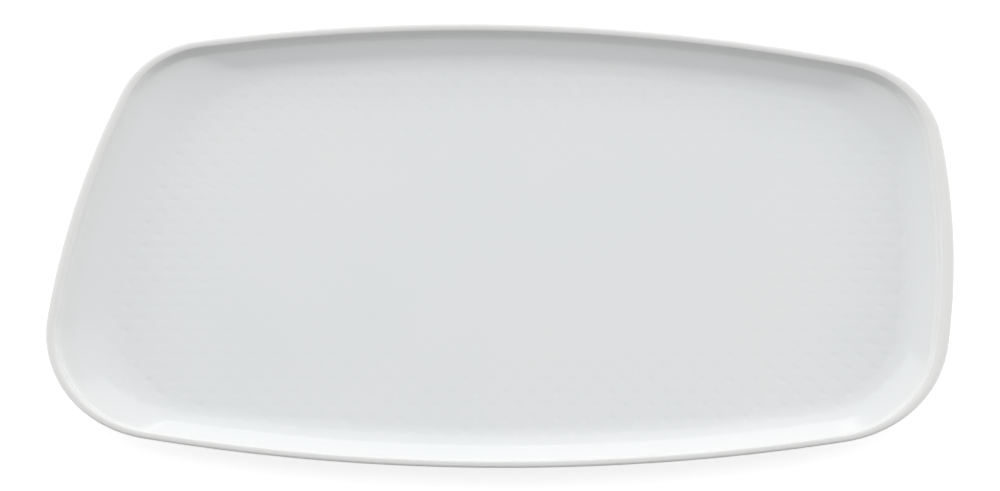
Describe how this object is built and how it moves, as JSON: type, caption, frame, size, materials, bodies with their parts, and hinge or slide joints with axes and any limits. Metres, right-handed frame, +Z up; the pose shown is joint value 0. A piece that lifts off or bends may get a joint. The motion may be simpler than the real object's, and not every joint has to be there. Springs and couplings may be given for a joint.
{
  "type": "rectangular serving dish",
  "caption": "Shallow rectangular serving dish in white glazed porcelain, with gently bowed sides, rounded corners, a rounded lip, a flat well for food and a bare foot ring.",
  "frame": {"origin": "middle of the dish's box in plan, on the surface it stands on", "axes": "+X along the dish to its upright end, +Y from the front edge to the back edge, +Z up"},
  "size_m": [0.3398, 0.1938, 0.018],
  "materials": {
    "porcelain": "bare fired porcelain, fine matt",
    "glaze": "clear gloss glaze over the white body"
  },
  "bodies": {
    "root": {"porcelain_body": "porcelain", "upper_glaze": "glaze", "base_glaze": "glaze"}
  },
  "joints": []
}
